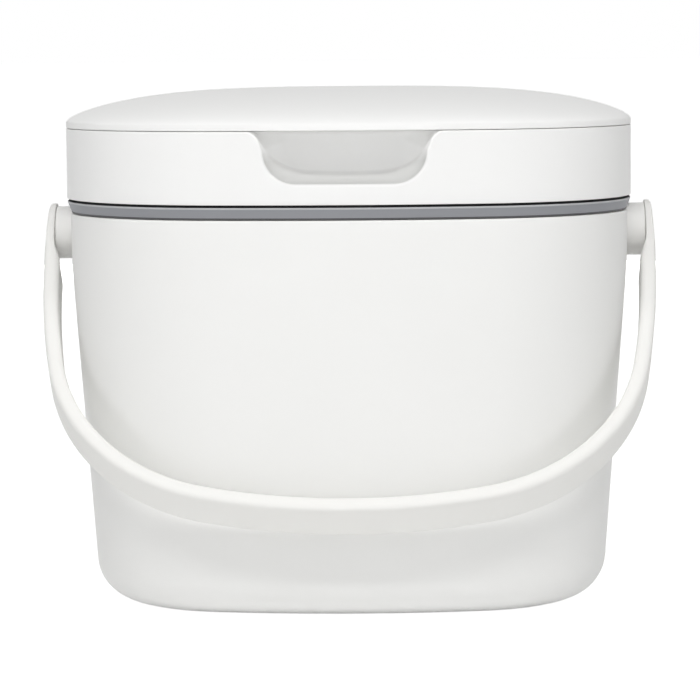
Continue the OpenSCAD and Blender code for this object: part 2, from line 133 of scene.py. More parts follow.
def drawOutline(bm, plan, steps=outline):
    # three spins make a quarter, and two mirrors close it; the row runs anticlockwise from the front
    start = bm.verts.new((0, plan.front.y - plan.frontR, 0))
    for centre, turn, count in ((plan.front, plan.frontTurn + pi / 2, steps["frontSteps"]),
                                (plan.corner, plan.sideTurn - plan.frontTurn, steps["cornerSteps"]),
                                (plan.side, -plan.sideTurn, steps["sideSteps"])):
        arc = bmesh.ops.spin(bm, geom=[start], cent=centre.to_3d(), axis=(0, 0, 1), angle=turn, steps=count)
        start = next(part for part in arc["geom_last"] if isinstance(part, bmesh.types.BMVert))
    for axis in "XY":
        bmesh.ops.mirror(bm, geom=bm.verts[:] + bm.edges[:], merge_dist=seamGap, axis=axis)
    return sorted(bm.verts, key=lambda v: (atan2(v.co.y, v.co.x) + pi / 2 + hair) % (2 * pi))


def rowEdges(bm, row, closed=True):
    return [bm.edges.get(pair) for pair in zip(row, row[1:] + row[:1] if closed else row[1:])]


def extrudeRow(bm, row, points, closed=True):
    # pulls a new row of points out of the last one and puts each in its place
    made = bmesh.ops.extrude_edge_only(bm, edges=rowEdges(bm, row, closed))["geom"]
    fresh = {part for part in made if isinstance(part, bmesh.types.BMVert)}
    partner = {edge.other_vert(new): new for new in fresh for edge in new.link_edges
               if edge.other_vert(new) not in fresh}
    newRow = [partner[old] for old in row]
    for vert, point in zip(newRow, points):
        vert.co = point
    return newRow


def loft(bm, row, rings, closed=True):
    for vert, point in zip(row, rings[0]):
        vert.co = point
    rows = [row]
    for points in rings[1:]:
        rows.append(extrudeRow(bm, rows[-1], points, closed))
    return rows


def roundedProfile(corners):
    # corners are (inset, height, radius); each radius becomes a short arc
    points = []
    count = len(corners)
    for i, (x, z, radius) in enumerate(corners):
        here = Vector((x, z))
        if not radius:
            points.append(here)
            continue
        before = Vector(corners[i - 1][:2]) - here
        after = Vector(corners[(i + 1) % count][:2]) - here
        half = before.angle(after) / 2
        back = radius / abs(sin(half) / cos(half))
        first, last = here + before.normalized() * back, here + after.normalized() * back
        middle = here + (before.normalized() + after.normalized()).normalized() * (radius / sin(half))
        a, b = heading(middle, first), heading(middle, last)
        turn = (b - a + pi) % (2 * pi) - pi
        for k in range(arcSteps + 1):
            angle = a + turn * k / arcSteps
            points.append(middle + radius * Vector((cos(angle), sin(angle))))
    return points


def ringAt(base, inwards, inset, z):
    return [(p.x + n.x * inset, p.y + n.y * inset, z) for p, n in zip(base, inwards)]


def sweepRound(bm, plan, profile, closed=True):
    # carries a section of (inset, height) points round the plan
    row = drawOutline(bm, plan)
    base = [Vector(v.co[:2]) for v in row]
    inwards = [plan.inward(p) for p in base]
    rows = loft(bm, row, [ringAt(base, inwards, inset, z) for inset, z in profile])
    if closed:
        bmesh.ops.bridge_loops(bm, edges=rowEdges(bm, rows[0]) + rowEdges(bm, rows[-1]))
    return rows


def capRow(bm, row):
    bmesh.ops.contextual_create(bm, geom=row)


def finishPiece(bm, name, body, nodes, slot, *finishes):
    bmesh.ops.remove_doubles(bm, verts=bm.verts, dist=weldGap)
    bmesh.ops.recalc_face_normals(bm, faces=bm.faces)
    bmesh.ops.scale(bm, vec=(mm, mm, mm), verts=bm.verts)
    mesh = bpy.data.meshes.new(name)
    bm.to_mesh(mesh)
    bm.free()
    mesh.shade_smooth()
    mesh.set_sharp_from_angle(angle=radians(sharpAngle))
    piece = bpy.data.objects.new(name, mesh)
    bpy.context.scene.collection.objects.link(piece)
    for material in finishes:
        mesh.materials.append(material)
    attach(piece, body)
    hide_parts(*nodes)
    print("made", name, len(mesh.polygons), "faces")


class Wire:
    # one value in a node tree, so that maths on it reads as Python
    def __init__(self, tree, socket=None):
        self.tree, self.socket = tree, socket

    def node(self, kind, inputs, output=0, **settings):
        made = self.tree.nodes.new(kind)
        for name, value in settings.items():
            setattr(made, name, value)
        for name, value in inputs.items():
            if isinstance(value, Wire):
                self.tree.links.new(value.socket, made.inputs[name])
            else:
                made.inputs[name].default_value = value
        return Wire(self.tree, made.outputs[output])

    def maths(self, operation, first, second, **settings):
        return self.node("ShaderNodeMath", {0: first, 1: second}, operation=operation, **settings)

    def __add__(self, other):
        return self.maths("ADD", self, other)

    def __sub__(self, other):
        return self.maths("SUBTRACT", self, other)

    def __rsub__(self, other):
        return self.maths("SUBTRACT", other, self)

    def __mul__(self, other):
        return self.maths("MULTIPLY", self, other)

    __radd__, __rmul__ = __add__, __mul__

    def share(self, start, end):  # 0 to 1 between two values
        return self.maths("MULTIPLY", self - start, 1 / (end - start), use_clamp=True)

    def part(self, axis):
        return self.node("ShaderNodeSeparateXYZ", {"Vector": self}, axis)

    def blend(self, low, high):  # a colour between two, by this value
        return self.node("ShaderNodeMix", {"Factor": self, "A": low, "B": high}, 2, data_type="RGBA")


def colour(value):
    return (*value, 1)


texture = {"flowScale": 14, "flowDetail": 2, "flowRough": 0.05, "peelScale": 160, "peelDetail": 1,
           "grainDetail": 3}


def mouldedPlastic(name, look, paintedShadeOf=None):
    # a slowly drifting tone, faint orange peel and a fine grain; the optional mask says where painted shade
    # turns the tone to the look's painted shade colour
    material = bpy.data.materials.new(name)
    material.use_nodes = True
    tree = material.node_tree
    shader = tree.nodes["Principled BSDF"]
    wire = Wire(tree)
    place = wire.node("ShaderNodeTexCoord", {}, "Object")
    sizes = ((texture["flowScale"], texture["flowDetail"]), (texture["peelScale"], texture["peelDetail"]),
             (look["grainScale"], texture["grainDetail"]))
    flow, peel, grain = (wire.node("ShaderNodeTexNoise", {"Vector": place, "Scale": size, "Detail": detail})
                         for size, detail in sizes)
    tint = flow.blend(colour(look["low"]), colour(look["high"]))
    if paintedShadeOf:
        tint = paintedShadeOf(place).blend(tint, colour(look["paintedShade"]))
    rough = look["roughness"] + (flow - 0.5) * texture["flowRough"] + (grain - 0.5) * look["roughGrain"]
    height = peel * look["peel"] + grain * look["grain"]
    bump = wire.node("ShaderNodeBump", {"Height": height, "Strength": 1, "Distance": mm})
    for socket, value in (("Base Color", tint), ("Roughness", rough), ("Normal", bump)):
        tree.links.new(value.socket, shader.inputs[socket])
    shader.inputs["IOR"].default_value = look["ior"]
    shader.inputs["Specular IOR Level"].default_value = look["specular"]
    return material


whiteLook = {"low": (0.855, 0.855, 0.84), "high": (0.875, 0.875, 0.862), "roughness": 0.38,
             "roughGrain": 0.04, "grainScale": 1400, "grain": 0.0002, "peel": 0.0008, "ior": 1.45,
             "specular": 0.03}
lidLook = {**whiteLook, "low": (0.87, 0.87, 0.86), "high": (0.885, 0.885, 0.877)}
bodyWhite = mouldedPlastic("body_white", whiteLook)
# painted light: the hubs are painted whiter than the body, to stand in for light that the strap's arm and
# the bucket keep from them
hubPaintedLight = mouldedPlastic("hub_white_painted_light", {**whiteLook, "low": (0.925, 0.92, 0.9),
                                        "high": (0.94, 0.935, 0.918)})
lidWhite = mouldedPlastic("lid_white", lidLook)
handleWhite = mouldedPlastic("handle_white", {**whiteLook, "low": (0.865, 0.86, 0.835),
                                              "high": (0.88, 0.876, 0.853), "roughness": 0.42})
innerWhite = mouldedPlastic("inner_white", {**whiteLook, "roughness": 0.42, "grain": 0.008})
bushWhite = mouldedPlastic("bush_white", {**whiteLook, "low": (0.72, 0.72, 0.7),
                                          "high": (0.76, 0.76, 0.74), "roughness": 0.4})
sealLook = {"low": (0.292, 0.299, 0.318), "high": (0.312, 0.32, 0.34), "roughness": 0.46,
            "roughGrain": 0.08, "grainScale": 2200, "grain": 0.012, "peel": 0.0, "ior": 1.42,
            "specular": 0.08}
sealGray = mouldedPlastic("seal_gray", sealLook)
# painted shadow: a near-black copy of the seal's gray for its top in the gap under the ring
sealPaintedShadow = mouldedPlastic("seal_painted_shadow", {**sealLook, "low": (0.03, 0.03, 0.032),
                                        "high": (0.04, 0.04, 0.042)})
# painted highlight: a lighter copy of the seal's gray for the line under its top edge
sealPaintedHighlight = mouldedPlastic("seal_painted_highlight", {**sealLook, "low": (0.45, 0.455, 0.47),
                                        "high": (0.47, 0.475, 0.49)})
# painted shade: a darker copy of the seal's gray for the line at its foot, over the bucket's rim
sealPaintedShade = mouldedPlastic("seal_painted_shade", {**sealLook, "low": (0.1, 0.1, 0.104),
                                        "high": (0.12, 0.12, 0.124)})
pinSteel = mouldedPlastic("pin_steel", {**sealLook, "low": (0.6, 0.6, 0.61),
                                        "high": (0.66, 0.66, 0.67), "roughness": 0.3})
pinSteel.node_tree.nodes["Principled BSDF"].inputs["Metallic"].default_value = 1
print("materials ready")

bucket = {"belowSeal": 0.2, "wall": 2.4, "floor": 2.8, "rimStep": 1.5, "baseWidth": 218, "baseDepth": 188,
          "bottomR": 16, "cornerR": 60, "sidePanelR": 340, "crease": 0.5, "flareOut": 2, "rimR": 0.7,
          "wallRows": 64, "edgeRows": 14, "rimRows": 8, "innerRows": 20, "innerEdgeRows": 8}
bucketTop = sealLow.z - bucket["belowSeal"]


def softMin(a, b, width):
    near = max(width - abs(a - b), 0) / width
    return min(a, b) - near * near * width / 4


def bucketHalfDepth(z):
    share = (z - bucket["bottomR"]) / (bucketTop - bucket["bottomR"])
    return mix(bucket["baseDepth"] / 2, halfDepth - bucket["rimStep"], share)


def bucketRing(directions, z, inset):
    # the upright corner shape cut by the drafted lower body, with a soft crease where they meet
    rimHalfW = halfWidth - bucket["rimStep"]
    draft = (rimHalfW + bucket["flareOut"] - bucket["baseWidth"] / 2) / (bucketTop - bucket["bottomR"])
    frontR = outline["frontBow"] - bucket["rimStep"]
    upright = Plan(rimHalfW, bucketHalfDepth(z), frontR, outline["sideBow"] - bucket["rimStep"],
                   outline["corner"] - bucket["rimStep"])
    drafted = Plan(bucket["baseWidth"] / 2 + draft * (z - bucket["bottomR"]), bucketHalfDepth(z), frontR,
                   bucket["sidePanelR"], bucket["cornerR"])
    points = []
    for way in directions:
        far = softMin(upright.reach(way, inset), drafted.reach(way, inset), bucket["crease"])
        points.append((way.x * far, way.y * far, z))
    return points


def bucketSide(directions, edgeR, floorZ, inset, topZ, rows, edgeRows):
    rings = []
    for i in range(edgeRows + 1):
        turn = pi / 2 * i / edgeRows
        z = floorZ + edgeR * (1 - cos(turn))
        rings.append(bucketRing(directions, z, inset + edgeR * (1 - sin(turn))))
    for i in range(1, rows + 1):
        rings.append(bucketRing(directions, mix(floorZ + edgeR, topZ, i / rows), inset))
    return rings


def buildBucket():
    bm = bmesh.new()
    row = drawOutline(bm, lidPlan)
    directions = [Vector(v.co[:2]).normalized() for v in row]
    rimR, wall = bucket["rimR"], bucket["wall"]
    side = bucketTop - rimR
    rings = bucketSide(directions, bucket["bottomR"], 0, 0, side, bucket["wallRows"], bucket["edgeRows"])
    for i in range(1, bucket["rimRows"] + 1):  # over the rim
        turn = pi * i / bucket["rimRows"]
        across = 0 if turn <= pi / 2 else wall - 2 * rimR
        rings.append(bucketRing(directions, side + rimR * sin(turn), rimR * (1 - cos(turn)) + across))
    inner = bucketSide(directions, bucket["bottomR"] - wall, bucket["floor"], wall, side,
                       bucket["innerRows"], bucket["innerEdgeRows"])
    rings += inner[-2::-1]
    rows = loft(bm, row, rings)
    capRow(bm, rows[0])
    capRow(bm, rows[-1])
    return bm


def turnProfile(bm, profile, centre, steps):
    # spins a profile of (radius, x) points round a line along X
    row = [bm.verts.new((x, 0, radius)) for radius, x in profile]
    edges = [bm.edges.new(pair) for pair in zip(row, row[1:])]
    bmesh.ops.translate(bm, vec=centre, verts=row)
    bmesh.ops.spin(bm, geom=row + edges, cent=centre, axis=(1, 0, 0), angle=2 * pi, steps=steps,
                   use_merge=True)


# the hubs start inside the bucket's wall, where they are cut flat to clear the rim seal
hub = {"diameter": 22.4, "edgeR": 0.25, "boreR": 5.55, "rootIn": 0.6, "trimX": 0.3, "trimStep": 0.02,
       "sealGap": 0.1, "pastBush": 0.2, "longer": 0.2, "edgeRows": 6, "turnSteps": 96}
hubEndX = boxInMm("hub_bush_right")[1].x + hub["pastBush"]


def buildHubs():
    bm = bmesh.new()
    radius, edge = hub["diameter"] / 2, hub["edgeR"]
    start = halfWidth - bucket["rimStep"] - bucket["wall"] + hub["rootIn"]
    trim, end = halfWidth + hub["trimX"], hubEndX + hub["longer"]
    turns = [pi / 2 * i / hub["edgeRows"] for i in range(hub["edgeRows"] + 1)]
    profile = [(hub["boreR"], start), (radius, start), (radius, trim - hub["trimStep"]), (radius, trim)]
    profile += [(radius - edge * (1 - cos(turn)), end - edge * (1 - sin(turn))) for turn in turns]
    profile += [(hub["boreR"], end)]
    turnProfile(bm, profile + profile[:1], Vector((0, 0, pivotZ)), hub["turnSteps"])
    for vert in bm.verts:
        if vert.co.x < trim - hub["trimStep"] / 2:
            vert.co.z = min(vert.co.z, bucketTop - hub["sealGap"])
    bmesh.ops.mirror(bm, geom=bm.verts[:] + bm.edges[:] + bm.faces[:], merge_dist=0, axis="X")
    return bm


finishPiece(buildBucket(), "bucketShell", "bucket", ["bucket"], "body_white", bodyWhite)
finishPiece(buildHubs(), "pivotHubs", "bucket", ["bucket"], "body_white", hubPaintedLight)

handle = {"reach": 154.5, "thick": 6.6, "width": 19, "endD": 25, "endThick": 3.1, "cornerR": 86,
          "gripBow": 275, "armBow": 350, "widestReach": 18, "restGap": 1.4, "restAngle": 44,
          "edgeR": 2.4, "leastBand": 0.2, "hubEdgeR": 0.25, "hubGap": 0.3, "bowRoom": 0.01,
          "flareReach": 34, "rampPastHub": 0.8, "rampLength": 12,
          "tipSteps": 16, "hubSteps": 8, "faceSteps": 16, "bandSteps": 3,
          "armSteps": {"frontSteps": 26, "cornerSteps": 46, "sideSteps": 24}}
endInnerX = hubEndX + handle["hubGap"]


def armBow(reach):
    return handle["armBow"] - sqrt(handle["armBow"] ** 2 - (reach - handle["widestReach"]) ** 2)


handleHalfX = endInnerX + handle["endThick"] + armBow(0) - handle["bowRoom"]


def pastHub(reach):  # 0 beside the hub, 1 where the strap has its full thickness
    return ease((reach - hub["diameter"] / 2 - handle["rampPastHub"]) / handle["rampLength"])


def handleThickness(x, reach):
    return mix(x - endInnerX, handle["thick"], pastHub(reach))


def handleHalfWidth(reach):
    endR = handle["endD"] / 2
    if reach < 0:
        return sqrt(max(endR * endR - reach * reach, 0))
    return mix(endR, handle["width"] / 2, ease(reach / handle["flareReach"]))


def handleStations(plan):
    # (place as across and reach, inward way) from the round tip down one arm to the middle of the grip
    bm = bmesh.new()
    row = drawOutline(bm, plan, handle["armSteps"])
    arm = [(v.co.x, -v.co.y) for v in row if v.co.x >= -weldGap and v.co.y <= weldGap]
    arm.sort(key=lambda point: heading((0, 0), point))
    bm.free()
    endR, widest = handle["endD"] / 2, handle["widestReach"]
    stations = []
    for i in range(handle["tipSteps"]):
        reach = -endR * cos(pi / 2 * i / handle["tipSteps"])
        stations.append((Vector((handleHalfX - armBow(reach), reach)), Vector((-1, 0))))
    for i in range(handle["hubSteps"]):
        reach = widest * i / handle["hubSteps"]
        x = handleHalfX - armBow(reach)
        stations.append((Vector((x, reach)), plan.inward((x, widest - reach))))
    stations += [(Vector((x, widest + reach)), plan.inward((x, -reach))) for x, reach in arm]
    return stations


def handleSection(place, inward, side):
    # outer face, edge, inner face and edge again, as [across the strap, depth under the outer face]
    reach = place.y
    halfW, thick = handleHalfWidth(reach), handleThickness(place.x, reach)
    edge = min(handle["edgeR"], thick / 2 - handle["leastBand"])
    innerEdge = mix(handle["hubEdgeR"], edge, pastHub(reach))
    endR = handle["endD"] / 2
    faceSteps, bandSteps = handle["faceSteps"], handle["bandSteps"]
    points = []

    def drop(across, radius):
        fromEdge = endR - hypot(across, reach) if reach < 0 else halfW - abs(across)
        close = min(max(radius - fromEdge, 0), radius)
        return radius - sqrt(radius * radius - close * close)

    for i in range(faceSteps + 1):
        across = halfW * sin(pi / 2 * (2 * i / faceSteps - 1))
        points.append((across, drop(across, edge)))
    for i in range(1, bandSteps):
        points.append((halfW, mix(edge, thick - innerEdge, i / bandSteps)))
    for i in range(faceSteps + 1):
        across = halfW * sin(pi / 2 * (1 - 2 * i / faceSteps))
        points.append((across, thick - drop(across, innerEdge)))
    for i in range(1, bandSteps):
        points.append((-halfW, mix(thick - innerEdge, edge, i / bandSteps)))
    return [(side * (place.x + inward.x * depth), -across, -place.y + inward.y * depth)
            for across, depth in points]


def buildHandle():
    plan = Plan(handleHalfX, handle["reach"] - handle["widestReach"], handle["gripBow"], handle["armBow"],
                handle["cornerR"])
    stations = handleStations(plan)
    rings = [handleSection(place, inward, -1) for place, inward in stations]
    rings += [handleSection(place, inward, 1) for place, inward in stations[-2::-1]]
    bm = bmesh.new()
    row = bmesh.ops.create_circle(bm, segments=len(rings[0]), radius=1)["verts"]
    rows = loft(bm, row, rings)
    capRow(bm, rows[0])
    capRow(bm, rows[-1])
    innerReach, halfW = handle["reach"] - handle["thick"], handle["width"] / 2
    restZ = pivotZ - innerReach * cos(radians(handle["restAngle"]))
    restY = bucketHalfDepth(restZ) + handle["restGap"]
    tilt = asin(restY / hypot(innerReach, halfW)) + atan(halfW / innerReach)
    bmesh.ops.rotate(bm, cent=(0, 0, 0), matrix=Matrix.Rotation(-tilt, 3, "X"), verts=bm.verts)
    bmesh.ops.translate(bm, vec=(0, 0, pivotZ), verts=bm.verts)
    return bm


finishPiece(buildHandle(), "handleStrap", "handle", ["handle"], "handle_white", handleWhite)

ring = {"height": 29.2, "wall": 2.4, "deckWidth": 16, "deckThick": 2.2, "deckLip": 1.2, "deckLipR": 0.6,
        "lipHeight": 9.9, "lipWall": 2, "lipR": 0.4, "edgeR": 0.4, "footR": 0.35,
        "wallRows": 24, "innerRows": 12}
# the finger scoop: its outline at the face, how it narrows and rises inwards, and how its rows are laid
scoop = {"width": 71, "height": 20.8, "depth": 11.4, "cornerR": 13, "edgeR": 1.3, "slope": 2.9, "back": 1.2,
         "narrowing": 10, "rampTall": 4.3, "flare": 2.2, "flareTall": 3.2, "flareDeep": 4,
         "patchHalf": 46, "belowIt": 4, "edgeTurn": 78, "edgeRows": 9, "faceRows": 7, "bowlRows": 22,
         "marginRows": 5, "backShares": (0.86, 0.66, 0.44, 0.22)}
# where the recess is painted darker as shade, in mm: round the line where the key lamp's light passes under
# the deck's edge (slope is its drop for each mm inwards), under the deck, in from the face, and across it;
# wall is the faint painted shade on the back wall
paintedShade = {"slope": 1.48, "soft": (-1, 1), "below": (7, 12), "inFrom": (0.05, 1.3), "inTo": (13, 12),
         "across": (2.5, 2.3), "wall": 0.03}
deckZ = ringZ + ring["height"]
lipZ = deckZ - ring["lipHeight"]


def scoopPaintedShade(place):
    # painted shade: the recess is painted a little grayer than the rest, most of all on the up-facing floor
    # that the key lamp lights, where the paint stands in for shade
    x, y, z = (place.part(axis) * (1 / mm) for axis in range(3))
    bow = x * x * (0.5 / outline["frontBow"])
    depth = y + halfDepth - bow
    below = deckZ - z
    # floor is the up-facing part of the recess that the key lamp reaches under the deck's edge, where the
    # painted shade is strongest
    floor = (below - depth * paintedShade["slope"]).share(*paintedShade["soft"]) * below.share(*paintedShade["below"])
    inside = depth.share(*paintedShade["inFrom"]) * depth.share(*paintedShade["inTo"]) * bow.share(*paintedShade["across"])
    return inside * (paintedShade["wall"] + floor * (1 - paintedShade["wall"]))


# the ring's white, with painted shade in the finger recess
ringWhiteRecessShade = mouldedPlastic("ring_white_recess_shade", {**lidLook, "paintedShade": (0.595, 0.595, 0.585)}, scoopPaintedShade)


def scoopShrink(depth):
    share = min(max(depth, 0) / scoop["depth"], 1)
    return 1 - sqrt(1 - share * share)


def scoopOutline(depth, grow, topZ, sideCount, floorCount):
    # the U that the scoop cuts at a depth, from its top left round to its top right, as (x, z) points
    shrink = scoopShrink(depth)
    halfW = scoop["width"] / 2 - scoop["narrowing"] * shrink + grow
    floorZ = deckZ - scoop["height"] + scoop["rampTall"] * shrink - grow
    r = scoop["cornerR"] + grow
    slope = scoop["slope"]
    corner = Vector((halfW - slope - r, floorZ + r))
    sideFoot = Vector((halfW - slope, floorZ + r))
    top = Vector((halfW, topZ))
    straight, arc = (top - sideFoot).length, r * pi / 4
    half = []
    for i in range(sideCount + 1):
        gone = (straight + arc) * i / sideCount
        if gone <= straight:
            half.append(top.lerp(sideFoot, gone / straight))
        else:
            angle = -(gone - straight) / r
            half.append(corner + r * Vector((cos(angle), sin(angle))))
    flat = corner.x
    for i in range(1, floorCount // 2 + 1):
        gone = (arc + flat) * i / (floorCount // 2)
        if gone <= arc:
            angle = -pi / 4 - gone / r
            half.append(corner + r * Vector((cos(angle), sin(angle))))
        else:
            half.append(Vector((flat - (gone - arc), floorZ)))
    for p in half:  # the corners at the deck open outwards
        below = min((topZ - p.y) / scoop["flareTall"], 1)
        p.x += scoop["flare"] * (1 - below) ** 2 * max(1 - depth / scoop["flareDeep"], 0)
    return [Vector((-p.x, p.y)) for p in half] + half[-2::-1]


def scoopPoint(p, depth, behind=0):
    # the face's bow fades out towards the flat back of the scoop
    r = outline["frontBow"]
    bow = r - sqrt(r * r - p.x * p.x)
    return (p.x, bow * (1 - min(max(depth, 0) / scoop["depth"], 1)) + depth + behind - halfDepth, p.y)


def scoopPatch(bm, rows, top, low, half, inset):
    # takes the wall's faces out and fills the hole with rings that sink into the scoop, or bulge behind it
    count = len(rows[0])
    span = {rows[k][i % count] for k in range(low, top + 1) for i in range(-half, half + 1)}
    bmesh.ops.delete(bm, geom=[f for f in bm.faces if span.issuperset(f.verts)], context="FACES")
    sides, bottom = top - low, 2 * half
    chain = [rows[k][-half] for k in range(top, low - 1, -1)]
    chain += [rows[low][i % count] for i in range(1 - half, half)]
    chain += [rows[k][half] for k in range(low, top + 1)]
    topZ = chain[0].co.z
    grow, behind = (scoop["back"], scoop["back"]) if inset else (scoop["edgeR"], 0)
    start = scoopOutline(0, grow, topZ, sides, bottom)
    rings = []
    for k in range(1, scoop["faceRows"]):
        across = [Vector((v.co.x, v.co.z)).lerp(p, k / scoop["faceRows"]) for v, p in zip(chain, start)]
        rings.append([scoopPoint(p, inset) for p in across])
    if inset:
        depths = [(inset - grow, grow)]
    else:  # round the rolled edge first
        turns = [radians(scoop["edgeTurn"]) * k / scoop["edgeRows"] for k in range(scoop["edgeRows"] + 1)]
        depths = [(grow * (1 - cos(turn)), grow * (1 - sin(turn))) for turn in turns]
    startDepth, margin = depths[-1]
    begin = asin(startDepth / scoop["depth"])
    for k in range(1, scoop["bowlRows"] + 1):
        depth = scoop["depth"] * sin(mix(begin, pi / 2, k / scoop["bowlRows"]))
        depths.append((depth, grow if inset else margin * (1 - ease(k / scoop["marginRows"]))))
    for depth, grown in depths:
        points = scoopOutline(depth, grown, topZ, sides, bottom)
        rings.append([scoopPoint(p, depth, behind) for p in points])
    last = [Vector((p[0], p[2])) for p in rings[-1]]
    for share in scoop["backShares"]:
        points = [Vector((p.x * share, mix(topZ, p.y, share))) for p in last]
        rings.append([scoopPoint(p, scoop["depth"], behind) for p in points])
    made = [chain]
    for points in rings:
        made.append(extrudeRow(bm, made[-1], points, closed=False))
    bm.edges.new((made[-1][0], made[-1][-1]))
    return [r[0] for r in made] + [r[-1] for r in made[::-1]]


def buildRing():
    bm = bmesh.new()
    edge, wall, deckW = ring["edgeR"], ring["wall"], ring["deckWidth"]
    lipX = deckW - ring["lipWall"]
    lowZ, underZ = ringZ + scoop["belowIt"], deckZ - ring["deckThick"]
    outer = [(0, mix(lowZ, deckZ - edge, i / ring["wallRows"]), 0) for i in range(ring["wallRows"])]
    inner = [(wall, mix(underZ, lowZ, i / ring["innerRows"]), 0) for i in range(ring["innerRows"] + 1)]
    profile = roundedProfile([
        (0, ringZ, ring["footR"]), *outer, (0, deckZ, edge), (deckW - ring["deckLip"], deckZ, 0),
        (deckW, deckZ, ring["deckLipR"]), (deckW, lipZ, ring["lipR"]), (lipX, lipZ, ring["lipR"]),
        (lipX, underZ, 0), *inner, (wall, ringZ, ring["footR"])])
    rows = sweepRound(bm, lidPlan, profile)
    low = arcSteps + 1
    top = low + ring["wallRows"]
    half = sum(1 for v in rows[0] if 0 < v.co.x < scoop["patchHalf"] and v.co.y < 0)
    throat = top + arcSteps + 1
    count = len(rows[0])
    deck = {rows[k][i % count] for k in range(top, throat + 1) for i in range(-half, half + 1)}
    bmesh.ops.delete(bm, geom=[f for f in bm.faces if deck.issuperset(f.verts)], context="FACES")
    rim = scoopPatch(bm, rows, top, low, half, 0)
    places = [v.co.copy() for v in rim]
    slopes = [places[min(i + 1, len(places) - 1)] - places[max(i - 1, 0)] for i in range(len(places))]
    ways = [Vector((-slope.y, slope.x)).normalized() for slope in slopes]
    ways[0], ways[-1] = lidPlan.inward(places[0]), lidPlan.inward(places[-1])
    for k in range(1, arcSteps + 1):  # the deck's soft edge follows the scoop
        turn = pi / 2 * k / arcSteps
        out, up = edge * (1 - cos(turn)), edge * sin(turn)
        points = [(p.x + w.x * out, p.y + w.y * out, p.z + up) for p, w in zip(places, ways)]
        rim = extrudeRow(bm, rim, points, closed=False)
    innerTop = next(k for k, p in enumerate(profile) if abs(p.x - wall) < hair and abs(p.y - underZ) < hair)
    under = {rows[k][i % count] for k in (innerTop - 1, innerTop) for i in range(-half, half + 1)}
    bmesh.ops.delete(bm, geom=[f for f in bm.faces if under.issuperset(f.verts)], context="FACES")
    backRows = rows[:innerTop] + rows[innerTop + ring["innerRows"]:innerTop - 1:-1]
    scoopPatch(bm, backRows, innerTop + ring["innerRows"], innerTop, half, wall)
    bmesh.ops.remove_doubles(bm, verts=bm.verts, dist=weldGap)
    bmesh.ops.holes_fill(bm, edges=[e for e in bm.edges if e.is_boundary], sides=0)
    return bm


hinge = {"pinR": 2, "pinGap": 0.02, "barrelR": 4.99, "halfWidth": 32, "middleHalf": 22, "boreR": 3.15,
         "gap": 0.3, "edgeR": 0.5, "rootIn": 1.4, "webR": 0.4, "edgeRows": 3, "turnSteps": 48}


def addBarrel(bm, start, end, outerR, boreR):
    edge = hinge["edgeR"]
    turns = [pi / 2 * i / hinge["edgeRows"] for i in range(hinge["edgeRows"] + 1)]
    profile = [(boreR, start)]
    profile += [(outerR - edge * (1 - sin(turn)), start + edge * (1 - cos(turn))) for turn in turns]
    profile += [(outerR - edge * (1 - cos(turn)), end - edge * (1 - sin(turn))) for turn in turns]
    profile += [(boreR, end)]
    turnProfile(bm, profile + profile[:1], Vector((0, hingeY, hingeZ)), hinge["turnSteps"])


def addBlock(bm, low, high, radius):
    verts = bmesh.ops.create_cube(bm, size=1)["verts"]
    low, high = Vector(low), Vector(high)
    bmesh.ops.scale(bm, vec=high - low, verts=verts)
    bmesh.ops.translate(bm, vec=(low + high) / 2, verts=verts)
    edges = list({edge for vert in verts for edge in vert.link_edges})
    made = bmesh.ops.bevel(bm, geom=edges, offset=radius, offset_type="OFFSET", segments=3, affect="EDGES",
                           profile=0.5, material=-1)
    return made["verts"]


def addRingKnuckles(bm):
    for side in (-1, 1):
        a, b = sorted((side * (hinge["middleHalf"] + hinge["gap"]), side * hinge["halfWidth"]))
        addBarrel(bm, a, b, hinge["barrelR"], hinge["boreR"])
        rootY, frontY = halfDepth - ring["wall"] - hinge["rootIn"], hingeY - hinge["boreR"]
        addBlock(bm, (a, rootY, hingeZ - hinge["barrelR"]), (b, frontY, hingeZ), hinge["webR"])


ringBm = buildRing()
addRingKnuckles(ringBm)
finishPiece(ringBm, "lidRing", "lid_frame", ["frame_ring"], "lid_white", ringWhiteRecessShade)

# a funnel from the throat down into the bucket, with a flange that reaches out to the ring's wall
collar = {"wall": 2, "clearance": 1.5, "drop": 9.4, "flangeUp": 1.6, "flangeThick": 2, "flangeGap": 0.2,
          "flangeR": 0.3, "footR": 0.8, "flareShare": 1.15, "flareDrop": 0.8, "innerUp": 1.2, "lipGap": 0.1,
          "bendR": {"foot": 1.2, "neck": 3, "mouth": 5, "throat": 4}}


def buildCollar():
    bm = bmesh.new()
    outer = bucket["rimStep"] + bucket["wall"] + collar["clearance"]
    inner = outer + collar["wall"]
    neck, throat = ring["deckWidth"] - ring["lipWall"], ring["deckWidth"]
    flange = ringZ + collar["flangeUp"]
    flangeTop = flange + collar["flangeThick"]
    flareTop = flangeTop + (neck - outer) * collar["flareShare"]
    low, top = bucketTop - collar["drop"], lipZ - collar["lipGap"]
    shelf = ring["wall"] + collar["flangeGap"]
    footR, flangeR, bendR = collar["footR"], collar["flangeR"], collar["bendR"]
    sweepRound(bm, lidPlan, roundedProfile([
        (outer, low, footR), (outer, flange, 0), (shelf, flange, flangeR), (shelf, flangeTop, flangeR),
        (outer, flangeTop, bendR["foot"]), (neck, flareTop, bendR["neck"]), (neck, top, 0),
        (throat, top, 0), (throat, flareTop - collar["flareDrop"], bendR["mouth"]),
        (inner, flange + collar["innerUp"], bendR["throat"]), (inner, low, footR)]))
    return bm


finishPiece(buildCollar(), "frameCollar", "lid_frame", ["frame_collar"], "inner_white", innerWhite)

# the gray seal, with a painted highlight line at its top edge, a painted shade line at its foot and painted
# shadow on its top under the ring
band = {"height": 5, "neck": 3.2, "highlightTall": 0.75, "footShadeTall": 0.8, "footIn": 0.45, "footR": 0.35,
        "topR": 0.4, "shadowSkin": 0.05, "collarGap": 0.1}


